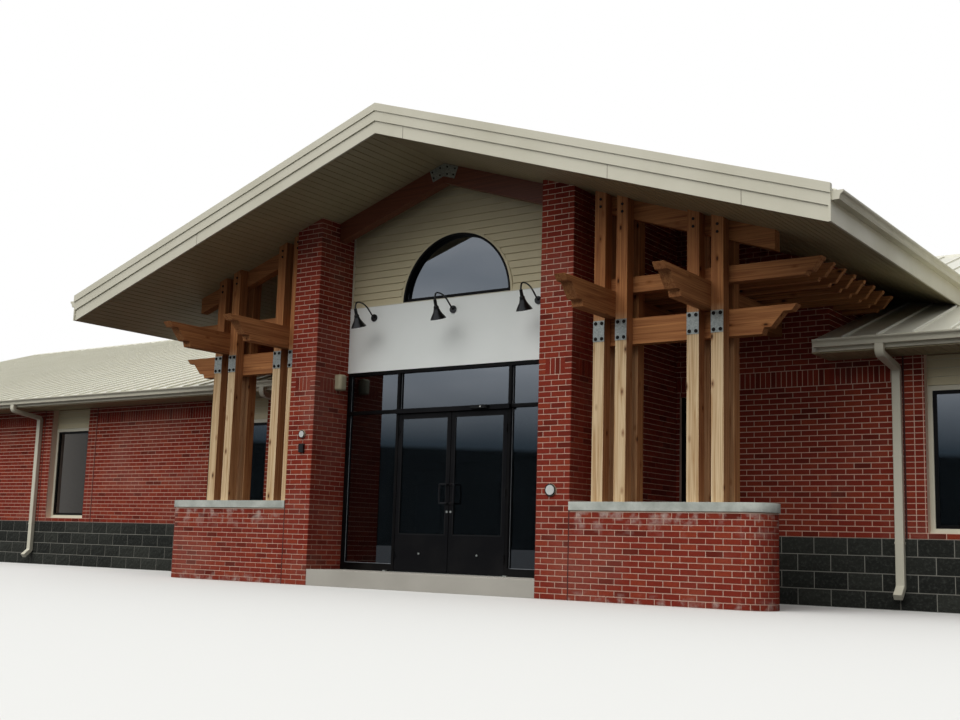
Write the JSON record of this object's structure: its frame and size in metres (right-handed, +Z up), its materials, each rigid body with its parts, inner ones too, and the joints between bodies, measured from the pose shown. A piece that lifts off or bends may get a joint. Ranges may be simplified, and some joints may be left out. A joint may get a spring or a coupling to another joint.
{
  "type": "town hall",
  "caption": "Low brick town hall with a gabled timber and brick entry, a half-round window over a plain sign panel, and metal roofs.",
  "frame": {"origin": "on the ground, midway between the entry piers, under the outer face of the storefront", "axes": "+X along the front to the right, +Y into the building, +Z up"},
  "size_m": [38.13, 21.497, 6.1822],
  "materials": {
    "black_metal": "satin",
    "block": "split face, matt",
    "brick": "wire-cut brick, matt",
    "bronze_frame": "satin",
    "concrete": "matt",
    "door_pull": "satin",
    "fitting_plastic": "matt",
    "galvanised": "zinc coated",
    "glazing": "tinted, clear",
    "precast": "smooth, matt",
    "siding": "satin",
    "sign": "satin",
    "soffit_metal": "satin",
    "stained_glulam": "stained, satin",
    "standing_seam": "satin",
    "tan_metal": "satin",
    "timber": "rough sawn"
  },
  "bodies": {
    "building": {"arched_window_frame": "bronze_frame", "arched_window_glass": "glazing", "arched_window_trim": "siding", "back_wall": "brick", "block_base": "block", "connector_plates": "galvanised", "cross_beams": "timber", "door_header": "bronze_frame", "door_hinges": "bronze_frame", "downspouts": "tan_metal", "eave_lookouts": "timber", "end_gables": "siding", "entry_fascia": "tan_metal", "entry_gable_wall": "siding", "entry_gutters": "tan_metal", "entry_left_wall": "brick", "entry_piers": "brick", "entry_right_wall": "brick", "entry_roof": "standing_seam", "entry_soffit": "soffit_metal", "floor_slab": "concrete", "front_left_wall": "brick", "front_right_wall": "brick", "gable_rafters": "stained_glulam", "gooseneck_lamps": "black_metal", "left_end_wall": "brick", "low_walls": "brick", "main_fascia": "tan_metal", "main_gutters": "tan_metal", "main_roof_back": "standing_seam", "main_roof_left": "standing_seam", "main_roof_middle": "standing_seam", "main_roof_right": "standing_seam", "main_soffit": "soffit_metal", "projecting_beams": "timber", "rafter_gusset": "galvanised", "raised_side_walls": "brick", "right_end_wall": "brick", "sign_panel": "sign", "storefront_frame": "bronze_frame", "storefront_glass": "glazing", "timber_posts": "timber", "wall_caps": "precast", "wall_fittings": "fitting_plastic", "window_frames": "bronze_frame", "window_glass": "glazing", "window_panels": "siding"},
    "left_door": {"left_door_leaf": "bronze_frame", "left_door_glass": "glazing", "left_door_handle": "door_pull"},
    "right_door": {"right_door_leaf": "bronze_frame", "right_door_glass": "glazing", "right_door_handle": "door_pull"}
  },
  "joints": [
    {"name": "left_door_hinge", "type": "hinge", "parent": "building", "child": "left_door", "pos_m": [-0.87325, -0.008, 0.225], "axis": [0, 0, -1], "range_deg": [0, 90]},
    {"name": "right_door_hinge", "type": "hinge", "parent": "building", "child": "right_door", "pos_m": [0.92925, -0.008, 0.225], "axis": [0, 0, 1], "range_deg": [0, 90]}
  ]
}
